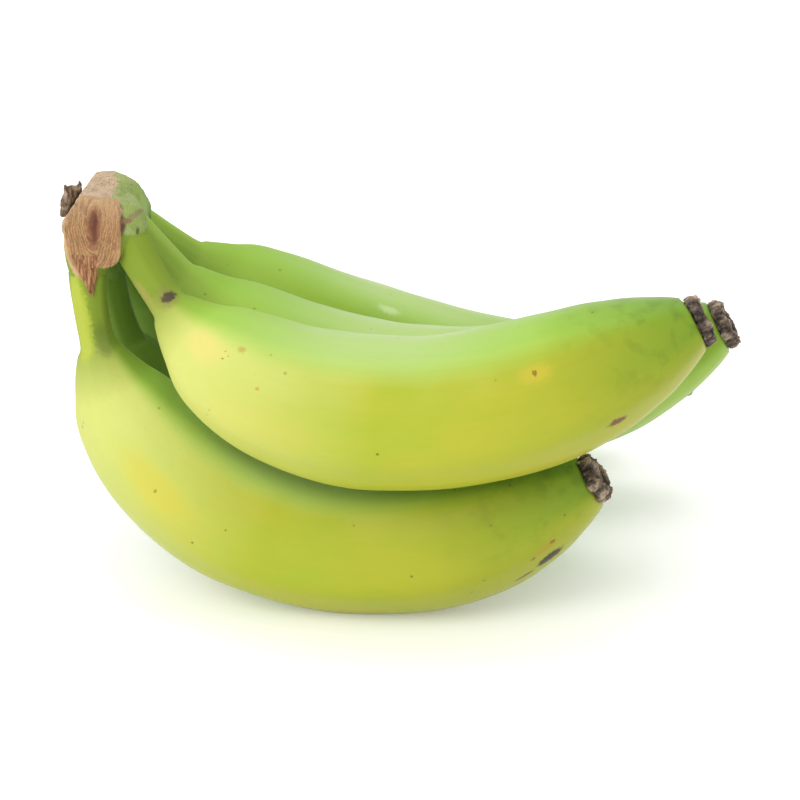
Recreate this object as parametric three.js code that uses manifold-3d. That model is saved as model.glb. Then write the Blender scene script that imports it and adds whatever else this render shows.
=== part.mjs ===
// A bunch of six green bananas in two rows, cut from the stalk with its crown and lying on its lower row.
// Millimetres, +Z up. +X runs from the crown to the tips and +Y from the front row to the back one.
import * as THREE from "three";
import { mergeVertices } from "three/addons/utils/BufferGeometryUtils.js";
import Module from "manifold-3d";

const wasm = await Module();
wasm.setup();

const gap = 0.4; // clearance between pieces that touch on the real bunch

// Each banana: where its pedicel starts, how far its path dips below level and swings in plan at the
// pedicel's start, at the neck and at the tip (degrees), how early it bends, and its lengths and radius.
const bananas = {
  upper_front: {
    root: [-69, -32, 100],
    dip: [57, 43, -26.5],
    swing: [-47, 6.5],
    ease: 1.7,
    pedicel: 27,
    body: 138,
    radius: 18.8,
  },
  upper_middle: {
    root: [-74, -13, 99.2],
    dip: [44.5, 49.8, -28.4],
    swing: [-6.2, -3.8],
    ease: 1.46,
    pedicel: 28.5,
    body: 147.6,
    radius: 18.2,
  },
  upper_back: {
    root: [-74.7, 8.6, 92],
    dip: [35.6, 39, -17.9],
    swing: [21.5, 3.8],
    ease: 0.68,
    pedicel: 28,
    body: 141.5,
    radius: 18.1,
  },
  lower_front: {
    root: [-77.5, -33.5, 93.4],
    dip: [95.2, 75.3, -33.4],
    swing: [-4.5, -6],
    ease: 1.32,
    pedicel: 28,
    body: 149,
    radius: 18.5,
  },
  lower_middle: {
    root: [-76.5, -2.5, 83.5],
    dip: [87.9, 67.8, -16.9],
    swing: [15, -5.5],
    ease: 1.6,
    pedicel: 28,
    body: 130,
    radius: 18.1,
  },
  lower_back: {
    root: [-82, 15.2, 89.4],
    dip: [62, 56, -16],
    swing: [54, 7.5],
    ease: 1.4,
    pedicel: 36.5,
    body: 149,
    radius: 18.1,
  },
};

const pedicelRadius = 4.4;
const ridges = 5; // soft angles of the peel, one of them along the belly
const ridgeHeight = 0.022; // share of the radius
const sides = 20;
const tipRadius = 0.31; // share of the full radius where the blossom end sits

// Girth along the body, from the neck to the blossom end: share of the body's length, share of the radius.
const girth = [
  [0.04, 0.5],
  [0.12, 0.77],
  [0.22, 0.915],
  [0.36, 0.99],
  [0.5, 1],
  [0.65, 0.985],
  [0.78, 0.91],
  [0.88, 0.73],
  [0.95, 0.51],
  [1, tipRadius],
];

const peelGreen = new THREE.MeshStandardMaterial({ color: 0xa4bf45, roughness: 0.42, metalness: 0 });
const crownTan = new THREE.MeshStandardMaterial({ color: 0xa58a62, roughness: 0.9, metalness: 0 });
const corkBrown = new THREE.MeshStandardMaterial({ color: 0x5d4a3c, roughness: 0.95, metalness: 0 });
const bractBrown = new THREE.MeshStandardMaterial({ color: 0x4a3524, roughness: 0.9, metalness: 0 });

const toRadians = THREE.MathUtils.degToRad;
const lengthOf = (banana) => banana.pedicel + banana.body;

// The path's dip and swing at a distance from the root, in radians.
function turnAt(banana, distance) {
  const [dipRoot, dipNeck, dipTip] = banana.dip;
  const [swingRoot, swingTip] = banana.swing;
  const along = Math.min(distance / lengthOf(banana), 1);
  const neck = banana.pedicel / lengthOf(banana);
  const bodyShare = (along - neck) / (1 - neck);
  const dip =
    along < neck
      ? THREE.MathUtils.lerp(dipRoot, dipNeck, along / neck)
      : dipNeck + (dipTip - dipNeck) * (1 - (1 - bodyShare) ** banana.ease);
  const swing = swingTip + (swingRoot - swingTip) * (1 - along) ** 2;
  return { dip: toRadians(dip), swing: toRadians(swing) };
}

// Forward along the path, out to its front side, and up to its inner curve.
function axesAt(banana, distance) {
  const { dip, swing } = turnAt(banana, distance);
  const forward = new THREE.Vector3(
    Math.cos(dip) * Math.cos(swing),
    Math.cos(dip) * Math.sin(swing),
    -Math.sin(dip),
  );
  const side = new THREE.Vector3(Math.sin(swing), -Math.cos(swing), 0);
  return { forward, side, up: side.clone().cross(forward) };
}

// The path's centre at a distance from the root, walked in steps of about a millimetre.
function centreAt(banana, distance) {
  const steps = Math.max(1, Math.ceil(distance));
  const step = distance / steps;
  const point = new THREE.Vector3(...banana.root);
  for (let i = 0; i < steps; i++) {
    point.addScaledVector(axesAt(banana, (i + 0.5) * step).forward, step);
  }
  return point;
}

// Lays a lathed piece, made straight along Y, on the banana's path. Nothing goes below the surface that
// the bunch lies on, so the lowest ones are pressed flat there.
function bendAlong(geometry, banana, ridgeAt) {
  const position = geometry.attributes.position;
  const places = new Map();
  for (let i = 0; i < position.count; i++) {
    const [x, distance, z] = [position.getX(i), position.getY(i), position.getZ(i)];
    if (!places.has(distance)) {
      places.set(distance, { centre: centreAt(banana, distance), ...axesAt(banana, distance) });
    }
    const place = places.get(distance);
    const swell = 1 + ridgeAt(distance) * Math.cos(ridges * (Math.atan2(x, z) - Math.PI));
    const bent = place.centre
      .clone()
      .addScaledVector(place.side, x * swell)
      .addScaledVector(place.up, z * swell);
    position.setXYZ(i, bent.x, bent.y, Math.max(bent.z, 0));
  }
  return closed(geometry);
}

// Merges the seam and the poles and drops the faces that have no width, so the mesh is one closed skin.
function closed(geometry) {
  geometry.deleteAttribute("normal");
  geometry.deleteAttribute("uv");
  const merged = mergeVertices(geometry, 1e-3);
  const faces = [];
  const index = merged.index.array;
  for (let i = 0; i < index.length; i += 3) {
    const [a, b, c] = index.slice(i, i + 3);
    if (a !== b && b !== c && c !== a) {
      faces.push(a, b, c);
    }
  }
  merged.setIndex(faces);
  return merged;
}

function lathe(outline, turns) {
  return new THREE.LatheGeometry(
    outline.map(([radius, distance]) => new THREE.Vector2(radius, distance)),
    turns,
  );
}

// A banana with its pedicel. `extra` is added all round, for the seat that it needs in the crown.
function bananaGeometry(banana, extra = 0) {
  const { pedicel, body, radius } = banana;
  const bends = [
    [0, 1.14 * pedicelRadius],
    [0.3 * pedicel, 1.04 * pedicelRadius],
    [0.6 * pedicel, 0.97 * pedicelRadius],
    [0.87 * pedicel, 1.02 * pedicelRadius],
    [pedicel - 0.01 * body, 1.3 * pedicelRadius],
    ...girth.map(([share, size]) => [pedicel + share * body, size * radius]),
  ];
  const curve = new THREE.CatmullRomCurve3(
    bends.map(([distance, size]) => new THREE.Vector3(size + extra, distance, 0)),
    false,
    "centripetal",
  );
  const outline = curve.getPoints(2 * (bends.length - 1)).map((point) => [point.x, point.y]);
  const end = lengthOf(banana);
  const geometry = lathe([[0, -extra], [outline[0][0], -extra], ...outline, [0, end]], sides);
  const { smoothstep } = THREE.MathUtils;
  const ridgeAt = (distance) => ridgeHeight * smoothstep(distance, 0.5 * pedicel, 1.6 * pedicel);
  return bendAlong(geometry, banana, ridgeAt);
}

// The dead flower's corky stub: a short plug with a ragged rim, just off the end of the banana.
const blossomEnd = { length: 4.3, sides: 12, raggedness: 0.08 };

function blossomEndGeometry(banana) {
  const start = lengthOf(banana) + gap;
  const reach = tipRadius * banana.radius;
  const outline = [
    [0, start],
    [0.97 * reach, start],
    [1.06 * reach, start + 0.3 * blossomEnd.length],
    [1.0 * reach, start + 0.75 * blossomEnd.length],
    [0.78 * reach, start + blossomEnd.length],
    [0.35 * reach, start + 0.8 * blossomEnd.length],
    [0, start + 0.72 * blossomEnd.length],
  ];
  return bendAlong(lathe(outline, blossomEnd.sides), banana, () => blossomEnd.raggedness);
}

function toManifold(geometry) {
  const { position } = geometry.attributes;
  return new wasm.Manifold(
    new wasm.Mesh({
      numProp: 3,
      vertProperties: new Float32Array(position.array),
      triVerts: new Uint32Array(geometry.index.array),
    }),
  );
}

function toGeometry(manifold) {
  const { vertProperties, triVerts } = manifold.getMesh();
  const geometry = new THREE.BufferGeometry();
  geometry.setAttribute("position", new THREE.BufferAttribute(vertProperties, 3));
  geometry.setIndex(new THREE.BufferAttribute(triVerts, 1));
  return geometry;
}

// The crown's pad, wide across the rows, and the stub of stalk that stands at its front. Then the knife cuts
// that trimmed them: a point on each cut and the direction that the cut faces.
const pad = { centre: [-75, -1, 97.5], size: [25, 78, 26] };
const stub = { centre: [-75.5, -16, 98.7], size: [18.4, 70, 19.6] };
const padCuts = [
  { at: [-66, -22, 105], faces: [0.2, -0.3, 0.93] },
  { at: [-63.3, -20, 102], faces: [1, 0.1, 0.15] },
];
const cuts = [
  { at: [-77, -26, 107.1], faces: [0, -0.057, 1] },
  { at: [-77, -13, 107.8], faces: [-0.05, 0.4, 1] },
  { at: [-70.4, -15, 107.7], faces: [0.35, -0.1, 0.93] },
  { at: [-78, -38.5, 99], faces: [-0.25, -1, 0.1] },
  { at: [-83.4, -38, 97], faces: [-1, -0.1, 0.12] },
  { at: [-78.5, -26, 107], faces: [-0.82, 0.06, 0.57] },
  { at: [-76, 24, 97], faces: [-0.1, 1, 0.2] },
];

// A big block whose one face is the knife's plane.
function knife({ at, faces }) {
  const size = 120;
  const block = new THREE.BoxGeometry(size, size, size);
  const normal = new THREE.Vector3(...faces).normalize();
  block.translate(0, 0, size / 2);
  block.applyQuaternion(new THREE.Quaternion().setFromUnitVectors(new THREE.Vector3(0, 0, 1), normal));
  block.translate(...at);
  return toManifold(closed(block));
}

// The swollen collar in which a pedicel leaves the crown.
const collar = { radius: 6.4, end: 5.7, above: 3, below: 5 };

function collarGeometry(banana) {
  const outline = [
    [0, -collar.above],
    [0.9 * collar.radius, -collar.above],
    [collar.radius, 0],
    [collar.end, collar.below],
    [0, collar.below],
  ];
  return bendAlong(lathe(outline, 12), banana, () => 0);
}

// The torn strip of skin that hangs from the front cut over the lower front pedicel, and how far its middle
// stands off that pedicel's root.
const tornStrip = { width: 10, length: 17, thickness: 3, offset: [1, 1, -1] };

function tornStripGeometry() {
  const { width, length, thickness, offset } = tornStrip;
  const outline = new THREE.Shape([
    new THREE.Vector2(-width / 2, length / 2),
    new THREE.Vector2(-0.3 * width, -0.05 * length),
    new THREE.Vector2(0, -length / 2),
    new THREE.Vector2(0.22 * width, -0.1 * length),
    new THREE.Vector2(width / 2, length / 2),
  ]);
  const strip = new THREE.ExtrudeGeometry(outline, { depth: thickness, bevelEnabled: false });
  strip.rotateX(Math.PI / 2);
  const [x, y, z] = bananas.lower_front.root;
  strip.translate(x + offset[0], y - pedicelRadius + offset[1], z + offset[2]);
  return closed(strip);
}

function lump({ centre, size }) {
  const geometry = new THREE.SphereGeometry(0.5, 24, 16);
  geometry.scale(...size);
  geometry.translate(...centre);
  return toManifold(closed(geometry));
}

function crownGeometry() {
  let crown = lump(pad);
  for (const cut of padCuts) {
    crown = crown.subtract(knife(cut));
  }
  crown = crown.add(lump(stub));
  for (const banana of Object.values(bananas)) {
    crown = crown.add(toManifold(collarGeometry(banana)));
  }
  for (const cut of cuts) {
    crown = crown.subtract(knife(cut));
  }
  crown = crown.add(toManifold(tornStripGeometry()));
  for (const banana of Object.values(bananas)) {
    crown = crown.subtract(toManifold(bananaGeometry(banana, gap)));
  }
  return toGeometry(crown);
}

// The dried scrap of bract, a curled flake that clings to the crown's left bevel.
const bract = { width: 8, height: 3, thickness: 2.4, foot: [-81.5, -23, 103.4], slope: 53 };

function bractGeometry() {
  const { width, height, thickness, foot, slope } = bract;
  const outline = new THREE.Shape();
  outline.moveTo(-0.5 * width, 0);
  outline.lineTo(0.45 * width, 0);
  outline.quadraticCurveTo(0.55 * width, 0.9 * height, 0.1 * width, height);
  outline.quadraticCurveTo(-0.45 * width, 1.1 * height, -0.5 * width, 0);
  const settings = { depth: thickness, bevelEnabled: false, curveSegments: 5 };
  const flake = new THREE.ExtrudeGeometry(outline, settings);
  flake.rotateX(Math.PI / 2);
  flake.rotateY(-toRadians(slope));
  flake.translate(...foot);
  return closed(flake);
}

const group = new THREE.Group();

function addPiece(name, geometry, material) {
  const mesh = new THREE.Mesh(geometry, material);
  mesh.name = name;
  group.add(mesh);
}

addPiece("crown", crownGeometry(), crownTan);
for (const [place, banana] of Object.entries(bananas)) {
  addPiece(`banana_${place}`, bananaGeometry(banana), peelGreen);
  addPiece(`blossom_end_${place}`, blossomEndGeometry(banana), corkBrown);
}
addPiece("bract_scrap", bractGeometry(), bractBrown);

export default group;
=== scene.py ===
# The looks of a bunch of six unripe bananas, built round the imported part. Metres, +Z up, +X towards the tips.
import math

import bmesh
import bpy
import numpy as np
from mathutils import Euler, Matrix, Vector, noise


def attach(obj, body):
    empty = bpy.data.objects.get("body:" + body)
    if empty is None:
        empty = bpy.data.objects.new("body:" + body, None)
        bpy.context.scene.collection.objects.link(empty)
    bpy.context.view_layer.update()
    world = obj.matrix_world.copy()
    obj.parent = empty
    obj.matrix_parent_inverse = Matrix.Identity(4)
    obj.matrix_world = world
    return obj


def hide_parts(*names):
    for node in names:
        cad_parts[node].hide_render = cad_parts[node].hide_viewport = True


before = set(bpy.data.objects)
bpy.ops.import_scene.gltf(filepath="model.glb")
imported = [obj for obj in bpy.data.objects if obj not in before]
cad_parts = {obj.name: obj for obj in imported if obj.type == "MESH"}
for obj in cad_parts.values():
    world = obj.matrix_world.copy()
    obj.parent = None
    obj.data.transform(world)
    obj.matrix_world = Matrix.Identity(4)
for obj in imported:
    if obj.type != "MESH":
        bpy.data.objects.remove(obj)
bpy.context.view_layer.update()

MM = 0.001


# ------------------------------------------------------------------------------------------------------------
# The bananas. Six fruits in two rows, each grown in one piece with the pedicel that it hangs by, out of one
# crown. The skin is unripe peel: green, waxed, with five soft ridges, and freckled where leaves have rubbed it.

# Root (mm), dip below level at the root, neck and tip and swing in plan at the root and tip (degrees), how early
# it bends, and the lengths of the pedicel and body and the radius (mm).
bananas = {
    "upper_front": ((-69, -32, 100), (57, 43, -26.5), (-47, 6.5), 1.7, 27, 138, 18.8),
    "upper_middle": ((-74, -13, 99.2), (44.5, 49.8, -28.4), (-6.2, -3.8), 1.46, 28.5, 147.6, 18.2),
    "upper_back": ((-74.7, 8.6, 92), (35.6, 39, -17.9), (21.5, 3.8), 0.68, 28, 141.5, 18.1),
    "lower_front": ((-77.5, -33.5, 93.4), (95.2, 75.3, -33.4), (-4.5, -6), 1.32, 28, 149, 18.5),
    "lower_middle": ((-76.5, -2.5, 83.5), (87.9, 67.8, -16.9), (15, -5.5), 1.6, 28, 130, 18.1),
    "lower_back": ((-82, 15.2, 89.4), (62, 56, -16), (54, 7.5), 1.4, 36.5, 149, 18.1),
}
order = list(bananas)

# Girth from the root to the blossom end, as shares of the radius. The pedicel takes the first part of the way.
pedicel_share = 0.16
pedicel_girth = [(0, 0.271), (0.3, 0.2475), (0.6, 0.231), (0.87, 0.243), (0.95, 0.309)]
body_girth = [
    (0.04, 0.5), (0.12, 0.77), (0.22, 0.915), (0.36, 0.99), (0.5, 1),
    (0.65, 0.985), (0.78, 0.91), (0.88, 0.74), (0.95, 0.545), (1, 0.345),
]
girth = [(pedicel_share * at, size) for at, size in pedicel_girth]
girth += [(pedicel_share + (1 - pedicel_share) * at, size) for at, size in body_girth]
ridges = 5
ridge_height = 0.028  # share of the radius
rows = 300
sides = 100


def put(tree, kind, inputs={}, **settings):
    """Adds a node with its settings, and joins or sets its inputs."""
    node = tree.nodes.new(kind)
    for name, value in settings.items():
        setattr(node, name, value)
    for key, value in inputs.items():
        if isinstance(value, bpy.types.Node):
            value = next(socket for socket in value.outputs if socket.enabled)
        if isinstance(value, bpy.types.NodeSocket):
            tree.links.new(value, node.inputs[key])
        else:
            node.inputs[key].default_value = value
    return node


def draw_curve(node, points, height):
    """Sets a Float Curve's points. The last ones are at its ends, and its values are divided by the height."""
    curve = node.mapping.curves[0]
    while len(curve.points) < len(points):
        curve.points.new(0.5, 0.5)
    for point, (at, size) in zip(curve.points, points):
        point.location = (at, size / height)
    node.mapping.update()


def open_tree(name, sockets):
    """A new Geometry Nodes tree with its named inputs. Gives the tree, its inputs and its output node."""
    tree = bpy.data.node_groups.new(name, "GeometryNodeTree")
    for label, kind in sockets.items():
        tree.interface.new_socket(name=label, in_out="INPUT", socket_type="NodeSocket" + kind)
    tree.interface.new_socket(name="Geometry", in_out="OUTPUT", socket_type="NodeSocketGeometry")
    return tree, put(tree, "NodeGroupInput").outputs, put(tree, "NodeGroupOutput")


def grow(name, tree, values):
    """Runs a tree with its inputs set and gives the plain mesh that comes out, as an object."""
    seed = bpy.data.objects.new(name + "_seed", bpy.data.meshes.new(name + "_seed"))
    bpy.context.scene.collection.objects.link(seed)
    modifier = seed.modifiers.new("grow", "NODES")
    modifier.node_group = tree
    for socket in tree.interface.items_tree:
        if socket.in_out == "INPUT":
            modifier[socket.identifier] = values[socket.name]
    bpy.context.view_layer.update()
    grown = seed.evaluated_get(bpy.context.evaluated_depsgraph_get())
    mesh = bpy.data.meshes.new_from_object(grown)
    bpy.data.objects.remove(seed)
    mesh.name = name
    piece = bpy.data.objects.new(name, mesh)
    bpy.context.scene.collection.objects.link(piece)
    return piece


# The banana's tree: a spine of points, a ring swept along it, and each ring's point put in its true place.
tree, given, result = open_tree("banana", {
    "Root": "Vector", "Dip at root": "Float", "Dip at neck": "Float", "Dip at tip": "Float",
    "Swing at root": "Float", "Swing at tip": "Float", "Ease": "Float", "Pedicel": "Float", "Body": "Float",
    "Radius": "Float", "Rows": "Int", "Sides": "Int", "Finger": "Int", "Sunless": "Float", "Skin": "Material",
})
line = put(tree, "GeometryNodeCurvePrimitiveLine")
spine = put(tree, "GeometryNodeResampleCurve", {"Curve": line, "Count": given["Rows"]})
length = put(tree, "ShaderNodeMath", {0: given["Pedicel"], 1: given["Body"]}, operation="ADD")
along = put(tree, "GeometryNodeSplineParameter")
way = put(tree, "ShaderNodeMath", {0: along.outputs["Factor"], 1: length}, operation="MULTIPLY")
in_pedicel = put(tree, "ShaderNodeMapRange", {0: way, 2: given["Pedicel"], 3: given["Dip at root"],
                                              4: given["Dip at neck"]})
left = put(tree, "ShaderNodeMapRange", {0: way, 1: given["Pedicel"], 2: length, 3: 1.0, 4: 0.0})
eased = put(tree, "ShaderNodeMath", {0: left, 1: given["Ease"]}, operation="POWER")
in_body = put(tree, "ShaderNodeMapRange", {0: eased, 1: 1.0, 2: 0.0, 3: 0.0, 4: 1.0})
bend = put(tree, "ShaderNodeMath", {0: given["Dip at tip"], 1: given["Dip at neck"]}, operation="SUBTRACT")
dip = put(tree, "ShaderNodeMath", {0: in_body, 1: bend, 2: in_pedicel}, operation="MULTIPLY_ADD")
back = put(tree, "ShaderNodeMath", {0: 1.0, 1: along.outputs["Factor"]}, operation="SUBTRACT")
squared = put(tree, "ShaderNodeMath", {0: back, 1: 2.0}, operation="POWER")
swing = put(tree, "ShaderNodeMapRange", {0: squared, 3: given["Swing at tip"], 4: given["Swing at root"]})
turn = put(tree, "ShaderNodeCombineXYZ", {"Y": dip, "Z": swing})
rotation = put(tree, "FunctionNodeEulerToRotation", {0: turn})
forward = put(tree, "FunctionNodeRotateVector", {"Vector": (1, 0, 0), "Rotation": rotation})
gaps = put(tree, "ShaderNodeMath", {0: given["Rows"], 1: 1.0}, operation="SUBTRACT")
step = put(tree, "ShaderNodeMath", {0: length, 1: gaps}, operation="DIVIDE")
stride = put(tree, "ShaderNodeVectorMath", {0: forward, "Scale": step}, operation="SCALE")
walked = put(tree, "GeometryNodeAccumulateField", {0: stride}, data_type="FLOAT_VECTOR")
first = put(tree, "GeometryNodeFieldAtIndex", {"Value": stride, "Index": 0}, data_type="FLOAT_VECTOR")
both = put(tree, "ShaderNodeVectorMath", {0: walked.outputs["Leading"], 1: walked.outputs["Trailing"]})
less = put(tree, "ShaderNodeVectorMath", {0: both, 1: first}, operation="SUBTRACT")
centre = put(tree, "ShaderNodeVectorMath", {0: less, 1: (0.5, 0.5, 0.5), 2: given["Root"]},
             operation="MULTIPLY_ADD")

# Girth: the curve gives the share of the radius. The root closes in a long dome, which is out of sight in the
# crown, and the blossom end in a short one.
root_dome, end_dome = 6 * MM, 0.8 * MM
shared = put(tree, "ShaderNodeMapRange", {0: way, 2: given["Pedicel"], 4: pedicel_share})
rest = put(tree, "ShaderNodeMapRange", {0: left, 1: 1.0, 2: 0.0, 4: 1 - pedicel_share})
place = put(tree, "ShaderNodeMath", {0: shared, 1: rest}, operation="ADD")
shape = put(tree, "ShaderNodeFloatCurve", {"Value": place})
headroom = 1.05
draw_curve(shape, girth, headroom)
to_end = put(tree, "ShaderNodeMath", {0: length, 1: way}, operation="SUBTRACT")
near_root = put(tree, "ShaderNodeMath", {0: way, 1: root_dome}, operation="DIVIDE")
near_end = put(tree, "ShaderNodeMath", {0: to_end, 1: end_dome}, operation="DIVIDE")
nearest = put(tree, "ShaderNodeMath", {0: near_root, 1: near_end}, operation="MINIMUM", use_clamp=True)
rounded = put(tree, "ShaderNodeMath", {0: nearest, 1: 0.5}, operation="POWER")
full = put(tree, "ShaderNodeMath", {0: given["Radius"], 1: headroom}, operation="MULTIPLY")
reach = put(tree, "ShaderNodeMath", {0: shape, 1: full}, operation="MULTIPLY")
reach = put(tree, "ShaderNodeMath", {0: reach, 1: rounded}, operation="MULTIPLY")

spine_kept = put(tree, "GeometryNodeCaptureAttribute", domain="POINT")
for kind, label in (("VECTOR", "Centre"), ("VECTOR", "Turn"), ("FLOAT", "Way"), ("FLOAT", "Reach")):
    spine_kept.capture_items.new(kind, label)
for label, value in (("Geometry", spine), ("Centre", centre), ("Turn", turn), ("Way", way), ("Reach", reach)):
    tree.links.new(next(s for s in value.outputs if s.enabled), spine_kept.inputs[label])
ring = put(tree, "GeometryNodeCurvePrimitiveCircle", {"Resolution": given["Sides"], "Radius": 1.0})
round_the_ring = put(tree, "GeometryNodeSplineParameter")
angle = put(tree, "ShaderNodeMath", {0: round_the_ring.outputs["Factor"], 1: 2 * math.pi}, operation="MULTIPLY")
ring_kept = put(tree, "GeometryNodeCaptureAttribute", domain="POINT")
ring_kept.capture_items.new("FLOAT", "Angle")
tree.links.new(ring.outputs[0], ring_kept.inputs["Geometry"])
tree.links.new(angle.outputs[0], ring_kept.inputs["Angle"])
tube = put(tree, "GeometryNodeCurveToMesh", {"Curve": spine_kept, "Profile Curve": ring_kept})
kept = spine_kept.outputs
angle = ring_kept.outputs["Angle"]

# Ridges: a wave round the ring, sharpened by its first overtone. One ridge runs along the belly.
fives = put(tree, "ShaderNodeMath", {0: angle, 1: float(ridges)}, operation="MULTIPLY")
wave = put(tree, "ShaderNodeMath", {0: fives}, operation="COSINE")
tens = put(tree, "ShaderNodeMath", {0: angle, 1: 2.0 * ridges}, operation="MULTIPLY")
overtone = put(tree, "ShaderNodeMath", {0: tens}, operation="COSINE")
peaked = put(tree, "ShaderNodeMath", {0: overtone, 1: 0.26}, operation="MULTIPLY")
peaked = put(tree, "ShaderNodeMath", {0: peaked, 1: wave}, operation="SUBTRACT")
swell = put(tree, "ShaderNodeMath", {0: peaked, 1: ridge_height, 2: 1.0}, operation="MULTIPLY_ADD")
across = put(tree, "ShaderNodeMath", {0: angle}, operation="SINE")
upward = put(tree, "ShaderNodeMath", {0: angle}, operation="COSINE")
flat_ring = put(tree, "ShaderNodeCombineXYZ", {"X": across, "Z": upward})
round_flat = put(tree, "ShaderNodeVectorMath", {0: flat_ring, "Scale": kept["Reach"]}, operation="SCALE")
along_y = put(tree, "ShaderNodeCombineXYZ", {"Y": kept["Way"]})
unbent = put(tree, "ShaderNodeVectorMath", {0: round_flat, 1: along_y})

# Slow dents and swellings, about as long as a thumb is wide, so that no two bananas are alike.
dent_size = 26 * MM
dent_depth = 0.55 * MM
dents = put(tree, "ShaderNodeTexNoise", {"Vector": unbent, "W": given["Finger"], "Scale": 1 / dent_size,
                                         "Detail": 1.0}, noise_dimensions="4D")
dented = put(tree, "ShaderNodeMapRange", {0: dents.outputs[0], 1: 0.25, 2: 0.75, 3: -dent_depth, 4: dent_depth})
stretched = put(tree, "ShaderNodeMath", {0: kept["Reach"], 1: swell}, operation="MULTIPLY")
slack = put(tree, "ShaderNodeMath", {0: kept["Reach"], 1: given["Radius"]}, operation="DIVIDE")
girdled = put(tree, "ShaderNodeMath", {0: dented, 1: slack, 2: stretched}, operation="MULTIPLY_ADD")
to_side = put(tree, "ShaderNodeMath", {0: across, 1: girdled}, operation="MULTIPLY")
to_side = put(tree, "ShaderNodeMath", {0: to_side, 1: -1.0}, operation="MULTIPLY")
to_top = put(tree, "ShaderNodeMath", {0: upward, 1: girdled}, operation="MULTIPLY")
spoke = put(tree, "ShaderNodeCombineXYZ", {"Y": to_side, "Z": to_top})
turned = put(tree, "FunctionNodeEulerToRotation", {0: kept["Turn"]})
spoke = put(tree, "FunctionNodeRotateVector", {"Vector": spoke, "Rotation": turned})
skin_point = put(tree, "ShaderNodeVectorMath", {0: kept["Centre"], 1: spoke})
pressed = put(tree, "ShaderNodeVectorMath", {0: skin_point, 1: (-10, -10, 0)}, operation="MAXIMUM")
placed = put(tree, "GeometryNodeSetPosition", {"Geometry": tube, "Position": pressed})
welded = put(tree, "GeometryNodeMergeByDistance", {"Geometry": placed, "Distance": 1e-6})
from_neck = put(tree, "ShaderNodeMath", {0: kept["Way"], 1: given["Pedicel"]}, operation="SUBTRACT")
share = put(tree, "ShaderNodeMath", {0: from_neck, 1: given["Body"]}, operation="DIVIDE")
marked = put(tree, "GeometryNodeStoreNamedAttribute", {"Geometry": welded, "Name": "unbent", "Value": unbent},
             data_type="FLOAT_VECTOR", domain="POINT")
marked = put(tree, "GeometryNodeStoreNamedAttribute", {"Geometry": marked, "Name": "share", "Value": share},
             data_type="FLOAT", domain="POINT")
marked = put(tree, "GeometryNodeStoreNamedAttribute", {"Geometry": marked, "Name": "finger",
                                                       "Value": given["Finger"]},
             data_type="FLOAT", domain="POINT")
marked = put(tree, "GeometryNodeStoreNamedAttribute", {"Geometry": marked, "Name": "sunless",
                                                       "Value": given["Sunless"]},
             data_type="FLOAT", domain="POINT")
smooth = put(tree, "GeometryNodeSetShadeSmooth", {"Geometry": marked})
real = put(tree, "GeometryNodeRealizeInstances", {"Geometry": smooth})
put_on = put(tree, "GeometryNodeSetMaterial", {"Geometry": real, "Material": given["Skin"]})
tree.links.new(put_on.outputs[0], result.inputs[0])


def shade(hex_colour):
    """An sRGB hex colour as linear red, green, blue and alpha."""
    parts = [int(hex_colour[i:i + 2], 16) / 255 for i in (1, 3, 5)]
    return (*[c / 12.92 if c <= 0.04045 else ((c + 0.055) / 1.055) ** 2.4 for c in parts], 1.0)


def open_material(name):
    material = bpy.data.materials.new(name)
    material.use_nodes = True
    nodes = material.node_tree
    return material, nodes, nodes.nodes["Principled BSDF"]


# How much greener than the front ones each banana stayed, for want of sun.
sunless = {"upper_front": 0.0, "upper_middle": 0.75, "upper_back": 0.8, "lower_front": 0.0, "lower_middle": 1.0,
           "lower_back": 0.7}

# Unripe banana peel: chlorophyll green on the inner side, with yellow showing through on the side that the sun
# reached, darker at the neck and the blossom end. A painted highlight pales the shoulders, and a painted sheen pales
# the inner side where its wax bloom catches the light.
peel, nodes, surface = open_material("unripe_waxy_banana_peel")
straight = put(nodes, "ShaderNodeAttribute", attribute_name="unbent").outputs["Vector"]
body_share = put(nodes, "ShaderNodeAttribute", attribute_name="share").outputs["Fac"]
finger = put(nodes, "ShaderNodeAttribute", attribute_name="finger").outputs["Fac"]
in_mm = put(nodes, "ShaderNodeVectorMath", {0: straight, "Scale": 1 / MM}, operation="SCALE")
parts = put(nodes, "ShaderNodeSeparateXYZ", {0: in_mm})
flat = put(nodes, "ShaderNodeVectorMath", {0: in_mm, 1: (1, 0, 1)}, operation="MULTIPLY")
from_axis = put(nodes, "ShaderNodeVectorMath", {0: flat}, operation="LENGTH").outputs["Value"]
inward = put(nodes, "ShaderNodeMath", {0: parts.outputs["Z"], 1: from_axis}, operation="DIVIDE")

blotch_width, blotch_length = 22, 45  # mm, a patch of yellower skin
stretched = put(nodes, "ShaderNodeVectorMath",
                {0: in_mm, 1: (1 / blotch_width, 1 / blotch_length, 1 / blotch_width)}, operation="MULTIPLY")
patches = put(nodes, "ShaderNodeTexNoise", {"Vector": stretched, "W": finger, "Scale": 1.0, "Detail": 3.0,
                                            "Roughness": 0.5}, noise_dimensions="4D")
yellowing = put(nodes, "ShaderNodeMapRange", {0: patches.outputs[0], 1: 0.4, 2: 0.72, 4: 0.8})
colour = put(nodes, "ShaderNodeMix", {0: yellowing, 6: shade("#99a82f"), 7: shade("#b5aa32")}, data_type="RGBA")
# Darker and more olive over the far half of the body.
olive_far_half = put(nodes, "ShaderNodeMapRange", {0: body_share, 1: 0.5, 2: 0.8, 4: 0.6})
colour = put(nodes, "ShaderNodeMix", {0: olive_far_half, 6: colour, 7: shade("#9c9a28")}, data_type="RGBA")
# Painted highlight: the shoulders are paled to a whitish yellow for the key light's broad soft highlight, over skin
# that is yellower there.
pale_shoulder_highlight = put(nodes, "ShaderNodeMapRange", {0: body_share, 1: 0.42, 2: 0.1, 4: 0.8})
colour = put(nodes, "ShaderNodeMix", {0: pale_shoulder_highlight, 6: colour, 7: shade("#c5c973")}, data_type="RGBA")
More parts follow.
